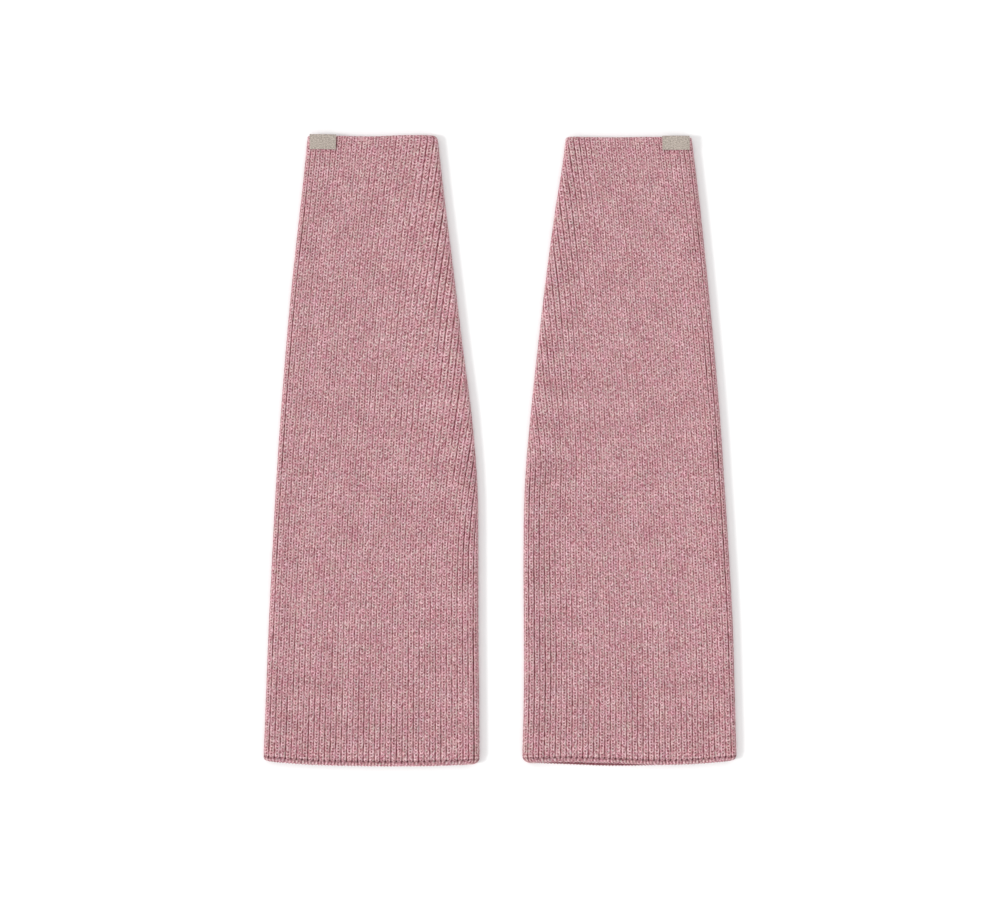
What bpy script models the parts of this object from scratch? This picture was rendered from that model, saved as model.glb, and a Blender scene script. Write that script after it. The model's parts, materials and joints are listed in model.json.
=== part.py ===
"""Pair of ribbed knit leg warmers, laid flat side by side.

Each leg warmer is a tube of 1x1 rib, pressed flat: a front and a back layer that run into each
other round two folds. The ribs follow the outer fold. Above the calf the inner fold cuts across
them, so the ribs run off round it one after another. The lower edge is a rolled tubular hem, and
a bare woven label is folded over the top edge at the outer corner.

Heights run up the leg from the lowest point of the hems. Distances across a leg warmer run from
its outer fold inwards. The pair lies on z = 0 with the middle of its box over the origin.
"""

import math
from collections import namedtuple

import bmesh
import bpy

MM = 0.001

# Driving dimensions. MIDDLE is half the box, from the lowest hem to the top of a folded label
LENGTH = 453.0 * MM
MIDDLE = 226.415 * MM
WALL_FRONT = 2.8 * MM
WALL_BACK = 2.2 * MM
THICKNESS = 6.0 * MM
RIB_COUNT = 39
RIB_DEPTH = 0.9 * MM
CREST_START = 0.22
CREST_END = 0.78
RUN_OFF_HEIGHT = 215.0 * MM
TOP_PITCH_SHARE = 0.95

# Ribs spread a little before they go round the inner fold of the upper half
SPREAD_REACH = 34.0 * MM
SPREAD_SHARE = 0.2
SPREAD_RISE = 60.0 * MM

# How deep the grooves between the ribs are, as shares of RIB_DEPTH
DEPTH_MIDDLE = 0.4
DEPTH_AT_FOLDS = 1.0
DEPTH_AT_HEM = 0.9
DEPTH_AT_TOP = 0.7
FOLD_REACH = 22.0 * MM
HEM_REACH = 120.0 * MM
TOP_REACH = 14.0 * MM

# The two folds: how far in each one rounds off, and the steps that turn it, from the fold
FOLD_RADIUS_FRONT = 3.4 * MM
FOLD_RADIUS_BACK = 2.4 * MM
FOLD_FIRST_STEP = 0.2 * MM
FOLD_STEPS_FRONT = (1.6 * MM, 0.7 * MM, 0.15 * MM, 0.0)
FOLD_STEPS_BACK = (0.15 * MM, 0.9 * MM)
FOLD_WALL = 2.5 * MM
FOLD_SLOT_SHARE = 0.4
PUFF_HEIGHT = 0.7 * MM
PUFF_FROM_FOLD = 7.0 * MM
PUFF_WIDTH = 7.0 * MM
LAST_RIB_CLEARANCE = 0.6
CORNER_EASE = 16.0 * MM

# Woven label
LABEL_THICKNESS = 0.5 * MM
LABEL_LEVEL_FROM = 2.8 * MM
LABEL_COLUMNS = 8
SEAT_GAP = 0.3 * MM

# Columns of points on the back and on each side of the inside. Keys under FRONT_END are rib
# numbers on the front, and the places after it on a ring are numbered from there
BACK_COLUMNS = 9
INSIDE_COLUMNS = 14
FRONT_END = 100.0
SHARP_ANGLE = 50.0

KNIT_COLOUR = (0.50, 0.245, 0.275, 1.0)
KNIT_ROUGHNESS = 0.95
LABEL_COLOUR = (0.42, 0.37, 0.32, 1.0)
LABEL_ROUGHNESS = 0.8

# Outline in mm: distances of the two folds from the middle of the pair
Station = namedtuple("Station", "height outer inner")
OUTLINE = {
    "left": (
        Station(0, 169.6, 14.5),
        Station(50, 167.7, 14.8),
        Station(100, 165.7, 15.3),
        Station(150, 163.3, 15.4),
        Station(200, 160.6, 16.0),
        Station(250, 157.3, 20.0),
        Station(300, 153.4, 26.5),
        Station(350, 148.8, 32.5),
        Station(400, 143.3, 38.7),
        Station(430, 140.1, 42.2),
        Station(453, 137.8, 44.7),
    ),
    "right": (
        Station(0, 169.6, 15.7),
        Station(50, 168.3, 16.9),
        Station(100, 166.8, 16.9),
        Station(150, 164.1, 16.7),
        Station(200, 161.0, 17.6),
        Station(250, 157.7, 21.6),
        Station(300, 153.5, 26.9),
        Station(350, 148.8, 32.7),
        Station(400, 143.7, 39.4),
        Station(430, 140.2, 44.2),
        Station(453, 137.3, 47.2),
    ),
}

# Ends in mm, by the share of the way across from the outer fold: how far each layer's hem
# stands above the lowest point, and how far the top edge lies below the nominal length
End = namedtuple("End", "across hem_front hem_back top")
ENDS = {
    "left": (
        End(0.00, 3.9, 3.9, 1.1),
        End(0.10, 2.4, 2.8, 1.1),
        End(0.24, 0.9, 1.6, 1.3),
        End(0.50, 0.1, 0.9, 1.7),
        End(0.75, 0.2, 0.9, 0.8),
        End(1.00, 1.5, 1.5, 0.9),
    ),
    "right": (
        End(0.00, 4.2, 4.2, 2.3),
        End(0.20, 1.6, 2.2, 2.2),
        End(0.36, 1.0, 0.6, 2.1),
        End(0.60, 2.4, 0.1, 2.4),
        End(0.80, 3.1, 1.2, 2.2),
        End(1.00, 2.3, 2.3, 1.9),
    ),
}

# Corner radii in mm
Corners = namedtuple("Corners", "hem_outer hem_inner top_outer top_inner")
CORNERS = {
    "left": Corners(3.0, 5.0, 1.2, 3.9),
    "right": Corners(4.0, 6.0, 1.2, 2.0),
}

# Where each label hangs, in mm: its two sides from the middle of the pair, and its length down
# the front from the top edge
Hang = namedtuple("Hang", "outer inner drop")
HANGS = {
    "left": Hang(136.1, 117.4, 10.0),
    "right": Hang(135.6, 116.2, 9.4),
}

# Soft troughs pressed into the front in mm; the two heights are where each one fades out
Trough = namedtuple("Trough", "from_inner half_width depth low high")
TROUGHS = {
    "left": (
        Trough(26, 10, 0.30, 190, 330),
        Trough(64, 16, 0.25, 30, 210),
    ),
    "right": (
        Trough(29, 9, 0.50, -40, 300),
        Trough(88, 18, 0.25, 60, 260),
    ),
}

# Rows of points up the leg in mm: rib_share fades the ribs out, drop lowers the front. The
# first five rows turn the rolled hem and the groove above it, the last three round the top.
Row = namedtuple("Row", "height rib_share drop")
ROWS = (
    Row(0.0, 0.0, 1.5),
    Row(0.5, 0.0, 0.5),
    Row(1.7, 0.0, 0.0),
    Row(3.2, 0.3, 0.7),
    Row(4.6, 1.0, 0.1),
    Row(50, 1.0, 0.0),
    Row(100, 1.0, 0.0),
    Row(150, 1.0, 0.0),
    Row(200, 1.0, 0.0),
    Row(232, 1.0, 0.0),
    Row(262, 1.0, 0.0),
    Row(292, 1.0, 0.0),
    Row(322, 1.0, 0.0),
    Row(352, 1.0, 0.0),
    Row(382, 1.0, 0.0),
    Row(412, 1.0, 0.0),
    Row(441, 1.0, 0.0),
    Row(450.6, 0.9, 0.1),
    Row(452.3, 0.6, 0.7),
    Row(453.0, 0.3, 1.4),
)
INSIDE_HEIGHTS = (453.0, 440, 400, 360, 320, 280, 240, 200, 150, 100, 50, 8, 0.0)

# Label's section over the top edge in mm: along is down the front from the edge, lift is above
# the front's crests
LabelPoint = namedtuple("LabelPoint", "along lift")
LABEL_BEND = (
    LabelPoint(0.9, -0.05),
    LabelPoint(0.1, -0.5),
    LabelPoint(-0.1, -1.3),
    LabelPoint(-0.1, -2.4),
)
LABEL_BEND_FROM = 0.5 * MM
LABEL_ROWS = 4


def ease(share):
    """Smooth step from 0 to 1."""
    share = min(max(share, 0.0), 1.0)
    return share * share * (3.0 - 2.0 * share)


def bump(distance, width):
    """Soft hill of height 1 at distance 0."""
    return math.exp(-((distance / width) ** 2))


def read_table(table, column, at):
    """Smooth value of one column of a table whose first column is the place."""
    places = [row[0] for row in table]
    values = [getattr(row, column) for row in table]
    last = len(places) - 1
    slopes = []
    for i in range(last + 1):
        before = max(i - 1, 0)
        after = min(i + 1, last)
        slopes.append((values[after] - values[before]) / (places[after] - places[before]))
    i = max(k for k in range(last) if k == 0 or places[k] <= at)
    span = places[i + 1] - places[i]
    t = min(max((at - places[i]) / span, 0.0), 1.0)
    start = (1.0 + 2.0 * t) * (1.0 - t) ** 2 * values[i] + t * (1.0 - t) ** 2 * span * slopes[i]
    end = t * t * (3.0 - 2.0 * t) * values[i + 1] - t * t * (1.0 - t) * span * slopes[i + 1]
    return start + end


class LegWarmer:
    """One tube's measurements. Heights and distances are in metres."""

    def __init__(self, name):
        self.name = name
        self.side = -1.0 if name == "left" else 1.0
        self.corners = CORNERS[name]
        self.hang = HANGS[name]

    def fold(self, column, height):
        return read_table(OUTLINE[self.name], column, height / MM) * MM

    def width(self, height):
        return self.fold("outer", height) - self.fold("inner", height)

    def pitch(self, height):
        """Distance from one groove to the next, before the spread."""
        base = self.width(min(height, RUN_OFF_HEIGHT)) / RIB_COUNT
        rise = max(height - RUN_OFF_HEIGHT, 0.0) / (LENGTH - RUN_OFF_HEIGHT)
        return base * (1.0 - (1.0 - TOP_PITCH_SHARE) * rise)

    def across(self, ribs, height):
        """How far from the outer fold a place lies that is this many ribs in."""
        plain = ribs * self.pitch(height)
        spread = SPREAD_SHARE * ease((height - RUN_OFF_HEIGHT) / SPREAD_RISE)
        start = self.width(height) - SPREAD_REACH
        if plain <= start or spread == 0.0:
            return plain
        inside = 1.0 - 2.0 * spread * (plain - start) / SPREAD_REACH
        return start + SPREAD_REACH / spread * (1.0 - math.sqrt(max(inside, 0.0)))

    def corner_inset(self, radii, height):
        """How far a rounded corner pulls its fold in at this height."""
        at_hem, at_top = (r * MM for r in radii)
        inset = 0.0
        for radius, from_end in ((at_hem, height), (at_top, LENGTH - height)):
            if from_end < radius:
                inset = radius - math.sqrt(radius**2 - (radius - from_end) ** 2)
        return inset

    def squeezed(self, across, height):
        """The distance across with both corners rounded."""
        c = self.corners
        outer = self.corner_inset((c.hem_outer, c.top_outer), height)
        inner = self.corner_inset((c.hem_inner, c.top_inner), height)
        from_inner = self.width(height) - across
        moved = outer * (1.0 - ease(across / CORNER_EASE))
        return across + moved - inner * (1.0 - ease(from_inner / CORNER_EASE))

    def crest_height(self, across, height):
        """Height of the rib crests over the floor, away from the folds."""
        from_inner = self.width(height) - across
        crest = THICKNESS
        for distance in (across, from_inner):
            crest += PUFF_HEIGHT * bump(distance - PUFF_FROM_FOLD, PUFF_WIDTH)
        for trough in TROUGHS[self.name]:
            middle = (trough.low + trough.high) / 2.0 * MM
            reach = (trough.high - trough.low) / 2.0 * MM
            along = ease(1.5 - 1.5 * abs(height - middle) / reach)
            off_line = from_inner - trough.from_inner * MM
            crest -= trough.depth * MM * along * bump(off_line, trough.half_width * MM)
        return crest

    def rounded(self, across, height, crest):
        """Crest height brought down round the nearer fold."""
        nearer = min(across, self.width(height) - across)
        inside = max(1.0 - nearer / FOLD_RADIUS_FRONT, 0.0)
        return crest / 2.0 * (1.0 + math.sqrt(1.0 - inside * inside))

    def groove_depth(self, across, height):
        nearer = min(across, self.width(height) - across)
        share = DEPTH_MIDDLE
        near_fold = 1.0 - ease(nearer / FOLD_REACH)
        near_hem = 1.0 - ease(height / HEM_REACH)
        near_top = 1.0 - ease((LENGTH - height) / TOP_REACH)
        share = max(share, DEPTH_MIDDLE + (DEPTH_AT_FOLDS - DEPTH_MIDDLE) * near_fold)
        share = max(share, DEPTH_MIDDLE + (DEPTH_AT_HEM - DEPTH_MIDDLE) * near_hem)
        share = max(share, DEPTH_MIDDLE + (DEPTH_AT_TOP - DEPTH_MIDDLE) * near_top)
        return RIB_DEPTH * share

    def place(self, across, height, z, layer="hem_front"):
        """Point in the pair's own frame, with the wavy hem and top edge."""
        share = across / self.width(height)
        hem = read_table(ENDS[self.name], layer, share) * MM
        top = LENGTH - read_table(ENDS[self.name], "top", share) * MM
        y = hem + (top - hem) * height / LENGTH - MIDDLE
        x = self.side * (self.fold("outer", height) - self.squeezed(across, height))
        return (x, y, z)


def outer_row(leg, row):
    """Keyed points once round the outside: front, inner fold, back, outer fold."""
    height = row.height * MM
    width = leg.width(height)
    drop = row.drop * MM
    ribbed = []
    plain = []

    def front(across, groove=0.0):
        crest = leg.crest_height(across, height) - drop
        z = leg.rounded(across, height, crest)
        z -= groove * row.rib_share * leg.groove_depth(across, height)
        return leg.place(across, height, z)

    def back(across):
        crest = leg.crest_height(across, height) - drop
        from_fold = min(across, width - across)
        inside = max(1.0 - from_fold / FOLD_RADIUS_BACK, 0.0)
        z = crest / 2.0 * (1.0 - math.sqrt(1.0 - inside * inside))
        return leg.place(across, height, z, "hem_back")

    ribbed.append((0.0, front(0.0)))
    ribbed.append((CREST_START / 2.0, front(FOLD_FIRST_STEP)))
    limit = width - LAST_RIB_CLEARANCE * leg.pitch(height)
    for rib in range(RIB_COUNT + 1):
        for part, groove in ((0.0, 1.0), (CREST_START, 0.0), (CREST_END, 0.0)):
            across = leg.across(rib + part, height)
            if 0.0 < across < limit:
                ribbed.append((rib + part, front(across, groove)))
    plain += [front(width - step) for step in FOLD_STEPS_FRONT]
    plain += [back(width - step) for step in FOLD_STEPS_BACK]
    for step in range(BACK_COLUMNS):
        share = step / (BACK_COLUMNS - 1)
        plain.append(back(width - FOLD_RADIUS_BACK - share * (width - 2.0 * FOLD_RADIUS_BACK)))
    plain += [back(step) for step in reversed(FOLD_STEPS_BACK)]
    return ribbed + [(FRONT_END + i, point) for i, point in enumerate(plain)]


def inner_row(leg, height):
    """Keyed points once round the plain inside, in the order of an outer row."""
    width = leg.width(height)
    points = []
    for layer in ("hem_front", "hem_back"):
        for step in range(INSIDE_COLUMNS):
            share = step / (INSIDE_COLUMNS - 1)
            if layer == "hem_back":
                share = 1.0 - share
            across = FOLD_WALL + share * (width - 2.0 * FOLD_WALL)
            ceiling = leg.crest_height(across, height) - WALL_FRONT
            at_end = step in (0, INSIDE_COLUMNS - 1)
            middle = (ceiling + WALL_BACK) / 2.0
            full = ceiling if layer == "hem_front" else WALL_BACK
            z = middle + (full - middle) * (FOLD_SLOT_SHARE if at_end else 1.0)
            points.append((len(points), leg.place(across, height, z, layer)))
    return points


def shares_round(points):
    """Each point's share of the way round its ring, for joining rings of unlike kinds."""
    lengths = [0.0]
    for (_, a), (_, b) in zip(points, points[1:]):
        lengths.append(lengths[-1] + math.dist(a, b))
    whole = lengths[-1] + math.dist(points[-1][1], points[0][1])
    return [length / whole for length in lengths]


def zip_rings(mesh, low, low_keys, high, high_keys):
    """Joins two closed rings of vertices by their keys. A key that one ring lacks makes a fan."""
    i = j = 0
    while i < len(low) or j < len(high):
        key_low = low_keys[i + 1] if i + 1 < len(low) else math.inf
        key_high = high_keys[j + 1] if j + 1 < len(high) else math.inf
        a = low[i % len(low)]
        b = high[j % len(high)]
        next_a = low[(i + 1) % len(low)]
        next_b = high[(j + 1) % len(high)]
        last = i + 1 >= len(low) and j + 1 >= len(high)
        if last or key_low == key_high:
            mesh.faces.new((a, b, next_b, next_a))
            i += 1
            j += 1
        elif key_low < key_high:
            mesh.faces.new((a, b, next_a))
            i += 1
        else:
            mesh.faces.new((a, b, next_b))
            j += 1


def loft(outside, inside):
    """Closed body up the rings of the outside, over the top and down those of the inside."""
    mesh = bmesh.new()
    rings = outside + inside
    vertices = [[mesh.verts.new(point) for _, point in ring] for ring in rings]
    rims = (len(outside) - 1, len(rings) - 1)
    for i, low in enumerate(rings):
        j = (i + 1) % len(rings)
        if i in rims:
            keys = (shares_round(low), shares_round(rings[j]))
        else:
            keys = ([key for key, _ in low], [key for key, _ in rings[j]])
        zip_rings(mesh, vertices[i], keys[0], vertices[j], keys[1])
    bmesh.ops.triangulate(mesh, faces=mesh.faces[:])
    bmesh.ops.recalc_face_normals(mesh, faces=mesh.faces[:])
    return mesh


def finish_object(name, mesh, material, collection):
    data = bpy.data.meshes.new(name)
    mesh.to_mesh(data)
    mesh.free()
    data.shade_smooth()
    data.set_sharp_from_angle(angle=math.radians(SHARP_ANGLE))
    data.materials.append(material)
    made = bpy.data.objects.new(name, data)
    collection.objects.link(made)
    return made


def principled(name, colour, roughness):
    material = bpy.data.materials.new(name)
    material.use_nodes = True
    shader = material.node_tree.nodes["Principled BSDF"]
    shader.inputs["Base Color"].default_value = colour
    shader.inputs["Roughness"].default_value = roughness
    shader.inputs["Metallic"].default_value = 0.0
    return material


def make_tube(leg, material, collection):
    outside = [outer_row(leg, row) for row in ROWS]
    inside = [inner_row(leg, height * MM) for height in INSIDE_HEIGHTS]
    return finish_object(leg.name + "_tube", loft(outside, inside), material, collection)


def make_label(leg, material, collection):
    """Upright woven strip that lies on the front's crests and bends over the top edge."""
    mesh = bmesh.new()
    outer, inner, drop = (value * MM for value in leg.hang)
    section = []
    for step in range(LABEL_ROWS):
        along = drop - step / LABEL_ROWS * (drop - LABEL_BEND[0].along * MM)
        section.append((along, 0.0))
    section += [(point.along * MM, point.lift * MM) for point in LABEL_BEND]
    grid = []
    for along, lift in section:
        height = LENGTH - max(along, 0.0)
        line = []
        for step in range(LABEL_COLUMNS):
            from_middle = outer - step / (LABEL_COLUMNS - 1) * (outer - inner)
            across = leg.fold("outer", height) - from_middle
            level = max(across, LABEL_LEVEL_FROM)
            crest = leg.crest_height(level, height)
            z = leg.rounded(level, height, crest) + SEAT_GAP + lift
            top_edge = leg.place(across, LENGTH, z)[1]
            over = SEAT_GAP if along < LABEL_BEND_FROM else 0.0
            line.append(mesh.verts.new((leg.side * from_middle, top_edge - along + over, z)))
        grid.append(line)
    for low, high in zip(grid, grid[1:]):
        for a, b, c, d in zip(low, low[1:], high[1:], high):
            mesh.faces.new((a, b, c, d) if leg.side < 0.0 else (a, d, c, b))
    label = finish_object(leg.name + "_label", mesh, material, collection)
    solidify = label.modifiers.new("thickness", "SOLIDIFY")
    solidify.thickness = LABEL_THICKNESS
    solidify.offset = 1.0
    return label


def main():
    for old in list(bpy.data.objects):
        bpy.data.objects.remove(old, do_unlink=True)
    collection = bpy.data.collections.new("leg_warmer_pair")
    bpy.context.scene.collection.children.link(collection)
    knit = principled("rib_knit", KNIT_COLOUR, KNIT_ROUGHNESS)
    woven = principled("woven_label", LABEL_COLOUR, LABEL_ROUGHNESS)
    for name in OUTLINE:
        leg = LegWarmer(name)
        make_tube(leg, knit, collection)
        make_label(leg, woven, collection)


main()
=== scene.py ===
"""Pair of ribbed knit leg warmers, laid flat side by side: knitted cloth, rolled hems, labels, stage.

The cloth repeats the solids' form and carries it down to single stitches. Each leg warmer has
three bands of knit, a rolled hem, an inside wall and a bare woven label. Heights run up the leg
from the lowest point of the hems, and distances across run from the outer fold inwards.
"""

import json
import math
from collections import namedtuple

import bpy
import numpy as np
from bpy.props import FloatProperty, FloatVectorProperty, IntProperty, PointerProperty
from bpy.types import Operator, Panel, PropertyGroup
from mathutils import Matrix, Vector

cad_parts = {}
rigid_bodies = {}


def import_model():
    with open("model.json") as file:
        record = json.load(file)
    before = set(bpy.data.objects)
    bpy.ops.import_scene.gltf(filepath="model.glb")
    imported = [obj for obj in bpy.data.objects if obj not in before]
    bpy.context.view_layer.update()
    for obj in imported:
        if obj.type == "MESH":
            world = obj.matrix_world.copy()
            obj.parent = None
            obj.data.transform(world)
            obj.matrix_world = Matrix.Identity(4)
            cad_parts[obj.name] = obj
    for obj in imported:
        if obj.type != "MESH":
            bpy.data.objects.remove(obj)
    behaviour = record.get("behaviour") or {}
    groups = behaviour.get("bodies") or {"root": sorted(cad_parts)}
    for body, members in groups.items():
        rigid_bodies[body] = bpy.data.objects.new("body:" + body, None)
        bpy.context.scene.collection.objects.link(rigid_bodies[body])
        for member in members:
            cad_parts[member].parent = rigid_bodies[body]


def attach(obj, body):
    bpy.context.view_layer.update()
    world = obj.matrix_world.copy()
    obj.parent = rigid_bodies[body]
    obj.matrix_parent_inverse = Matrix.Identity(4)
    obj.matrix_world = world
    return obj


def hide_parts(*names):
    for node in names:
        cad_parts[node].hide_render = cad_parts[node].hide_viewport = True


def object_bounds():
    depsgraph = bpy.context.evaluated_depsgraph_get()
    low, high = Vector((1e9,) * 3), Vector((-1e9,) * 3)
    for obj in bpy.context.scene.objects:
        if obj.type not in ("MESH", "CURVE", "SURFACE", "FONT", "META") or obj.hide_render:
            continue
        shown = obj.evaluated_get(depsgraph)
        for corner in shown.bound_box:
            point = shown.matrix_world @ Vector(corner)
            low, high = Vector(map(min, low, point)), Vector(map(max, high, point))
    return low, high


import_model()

bl_info = {
    "name": "Ribbed Leg Warmers",
    "version": (1, 0, 0),
    "blender": (4, 5, 0),
    "location": "View3D > Sidebar > Leg Warmers",
    "description": "Knits a pair of ribbed leg warmers, laid flat, on a pale stage",
    "category": "Mesh",
}

CAD_LOW, CAD_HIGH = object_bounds()
MM = 0.001
SAME_PLACE = 1e-6
NEARLY_ZERO = 1e-6
UV_NAME = "stitches"
KNIT_MATERIAL = "heather_wool"
LABEL_MATERIAL = "greige_weave"
CAVITY_NAME = "cavity"
CARVED_NAME = "carved"

# The tube's driving dimensions, as in the solids
LENGTH = 453.0 * MM
MIDDLE = 226.415 * MM
WALL_FRONT = 2.8 * MM
WALL_BACK = 2.2 * MM
THICKNESS = 6.0 * MM
RIB_COUNT = 39
RIB_DEPTH = 0.9 * MM
FOLD_RADIUS_FRONT = 3.4 * MM
FOLD_RADIUS_BACK = 2.4 * MM
FOLD_WALL = 2.5 * MM
PUFF_HEIGHT = 0.7 * MM
PUFF_FROM_FOLD = 7.0 * MM
PUFF_WIDTH = 7.0 * MM
CORNER_EASE = 16.0 * MM
SEAT_GAP = 0.3 * MM

# How much further the cloth goes round a quarter turn than straight, in radii
FOLD_SPARE = math.pi / 2.0 - 1.0
# How far from the wall at a fold the slot between the layers has its full height
SLOT_ROUNDING = 9.0 * MM

# Height where the ribs begin to run off at the inner fold, how much of their pitch is left at
# the top, how far in from the fold and how much they spread, and the heights between which the
# spread comes in. The right ones are as in the solids, and the left ones begin lower.
RunOff = namedtuple("RunOff", "height top_share reach spread spread_from spread_to")
RUN_OFFS = {
    "left": RunOff(120.0 * MM, 0.93, 70.0 * MM, 0.28, 150.0 * MM, 270.0 * MM),
    "right": RunOff(215.0 * MM, 0.95, 34.0 * MM, 0.2, 215.0 * MM, 275.0 * MM),
}

# Courses of the ribbed part, between the hem's groove and the roll of the top edge, and the
# ends of its three bands
FIRST_COURSE = 4.6 * MM
LAST_COURSE = 451.2 * MM
COURSE_COUNT = 224
SPARE_COURSES = 2
ROWS_IN_COURSE = 3
COURSES_IN_UNDER_ROW = 4
BAND_ENDS = (0, 76, 152, COURSE_COUNT)
BAND_NAMES = ("lower", "middle", "upper")

# Columns across: they begin before the outer fold, and end with some room at the seam, which lies
# a number of ribs past the inner fold
SPARE_RIBS = 4
FIRST_COLUMN = -4
FIRST_UNDER_COLUMN = -2
LAST_COLUMN_ROOM = 0.35 * MM
SEAM_PAST_FOLD = 1.0
SEAM_EASE = 3.0 * MM

# How far a stitch can stand out
STAND_OUT = 0.18 * MM
# How far from an end of the tube the legs of a stitch rise in full, in shares of that rise
LEAN_FADE = 3.0
# The hollow between two legs, in shares of its depth: everywhere, and that much more in a valley
DIP_ALWAYS = 0.55
DIP_IN_VALLEY = 0.75
# How fast a valley ends beside the crest of a leg
VALLEY_NARROWING = 0.5
# Lengths of the waves of a rib's wander and of its looseness, and how many ribs at a fold don't
# wander
WANDER_LENGTHS = (9.0 * MM, 23.0 * MM)
LOOSE_LENGTHS = (12.0 * MM, 47.0 * MM)
CALM_RIBS = 2.0
# How deep the grooves and the stitches are at a fold, and over how many ribs they deepen
EDGE_GROOVE = 0.25
EDGE_STITCH = 0.4
EDGE_RIBS = 0.8

# The cavity attribute says how deep a place lies, in shares of RIB_DEPTH, and the material paints
# shade by it. The wall in the tube counts as deep, so it gets painted shade, from this share of the
# way round a roll on, and slanted stitches count more.
IN_TUBE = 1.5
DARK_FROM = 0.65
BEAD_SHADE = 1.5
# The carved attribute is 1 where the stitches are in the mesh, and not in the relief
CARVED = 1.0

# The cut of the cloth: how many heights its girth is taken at, and what one fold adds to it
CUT_STATIONS = 40
FOLD_TAKE_UP = 3.6 * MM

# The plain inner wall: columns of one layer, and the heights of its rows in mm
INSIDE_COLUMNS = 24
INSIDE_HEIGHTS = (14, 40, 80, 120, 160, 200, 240, 280, 320, 360, 400, 430, 444)

# Outline in mm: how far each tube's two folds lie from the middle of the pair
Station = namedtuple("Station", "height left_outer left_inner right_outer right_inner")
OUTLINE = (
    Station(0, 169.6, 14.5, 169.6, 15.7),
    Station(50, 167.7, 14.8, 168.3, 16.9),
    Station(100, 165.7, 15.3, 166.8, 16.9),
    Station(150, 163.3, 15.4, 164.1, 16.7),
    Station(200, 160.6, 16.0, 161.0, 17.6),
    Station(250, 157.3, 20.0, 157.7, 21.6),
    Station(300, 153.4, 26.5, 153.5, 26.9),
    Station(350, 148.8, 32.5, 148.8, 32.7),
    Station(400, 143.3, 38.7, 143.7, 39.4),
    Station(430, 140.1, 42.2, 140.2, 44.2),
    Station(453, 137.8, 44.7, 137.3, 47.2),
)

# Ends in mm, by the share of the way across from the outer fold: how far each layer's hem
# stands above the lowest point, and how far the top edge lies below the nominal length
End = namedtuple("End", "across hem_front hem_back top")
ENDS = {
    "left": (
        End(0.00, 3.9, 3.9, 1.1),
        End(0.10, 2.4, 2.8, 1.1),
        End(0.24, 0.9, 1.6, 1.3),
        End(0.50, 0.1, 0.9, 1.7),
        End(0.75, 0.2, 0.9, 0.8),
        End(1.00, 1.5, 1.5, 0.9),
    ),
    "right": (
        End(0.00, 4.2, 4.2, 2.3),
        End(0.20, 1.6, 2.2, 2.2),
        End(0.36, 1.0, 0.6, 2.1),
        End(0.60, 2.4, 0.1, 2.4),
        End(0.80, 3.1, 1.2, 2.2),
        End(1.00, 2.3, 2.3, 1.9),
    ),
}

# Corner radii in mm
Corners = namedtuple("Corners", "hem_outer hem_inner top_outer top_inner")
CORNERS = {
    "left": Corners(3.0, 5.0, 1.2, 3.9),
    "right": Corners(4.0, 6.0, 1.2, 2.0),
}

# Where each label hangs, in mm: its two sides from the middle of the pair, and its length down
# the front from the top edge
Hang = namedtuple("Hang", "outer inner drop")
HANGS = {
    "left": Hang(136.1, 117.4, 10.0),
    "right": Hang(135.6, 116.2, 9.4),
}

# Soft troughs pressed into the front in mm, with the heights where each one has faded out. A
# trough fades over 1 / TROUGH_FADE of half its length.
Trough = namedtuple("Trough", "from_inner half_width depth low high")
TROUGH_FADE = 1.5
TROUGHS = {
    "left": (
        Trough(26, 10, 0.30, 190, 330),
        Trough(64, 16, 0.25, 30, 210),
    ),
    "right": (
        Trough(29, 9, 0.50, -40, 300),
        Trough(88, 18, 0.25, 60, 260),
    ),
}

# How deep the grooves are in the middle of the tube and at its ends, in shares of RIB_DEPTH, and
# over what height they change
HEM_REACH = 130.0 * MM
TOP_REACH = 14.0 * MM
Grooves = namedtuple("Grooves", "middle hem top")
GROOVES = {
    "left": Grooves(0.42, 0.88, 0.5),
    "right": Grooves(0.28, 0.78, 0.5),
}

# Where the grooves run deeper than in the middle, by the distance from a fold in mm: share is of
# RIB_DEPTH, and it fades out towards the two heights
Ribbing = namedtuple("Ribbing", "fold full_to gone_by share low high")
RIBBING = {
    "left": (
        Ribbing("outer", 4.5, 7, 0.85, -90, 380),
        Ribbing("outer", 4.5, 7, 1.2, 300, 500),
        Ribbing("outer", 22, 26, 0.8, 427, 462),
        Ribbing("inner", 8, 25, 0.88, 180, 540),
        Ribbing("inner", 5, 7.5, 1.25, -90, 260),
        Ribbing("inner", 8, 22, 0.8, -90, 300),
    ),
    "right": (
        Ribbing("outer", 4.5, 7, 1.05, -90, 500),
        Ribbing("outer", 7, 15, 0.75, -40, 500),
        Ribbing("outer", 24, 28, 0.85, 427, 462),
        Ribbing("inner", 10, 28, 0.88, 330, 560),
        Ribbing("inner", 26, 34, 0.55, 200, 380),
        Ribbing("inner", 40, 75, 0.48, -90, 270),
        Ribbing("inner", 14, 44, 0.9, -90, 235),
    ),
}
RIBBING_FADE = 30.0 * MM

# One knit wale, by the share of the way across it: lift is how far its two legs rise to the
# sides, groove how much of the rib's groove it holds, bulge how much the legs stand out, and
# dip how much of the hollow between them
Wale = namedtuple("Wale", "across lift groove bulge dip")
WALE = (
    Wale(0.00, 1.00, 1.00, 0.35, 0.0),
    Wale(0.12, 0.80, 0.40, 0.85, 0.0),
    Wale(0.26, 0.50, 0.00, 1.00, 0.0),
    Wale(0.40, 0.18, 0.00, 0.90, 0.40),
    Wale(0.50, 0.00, 0.00, 0.60, 1.0),
    Wale(0.60, 0.18, 0.00, 0.90, 0.40),
    Wale(0.74, 0.50, 0.00, 1.00, 0.0),
    Wale(0.88, 0.80, 0.40, 0.85, 0.0),
)

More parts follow.
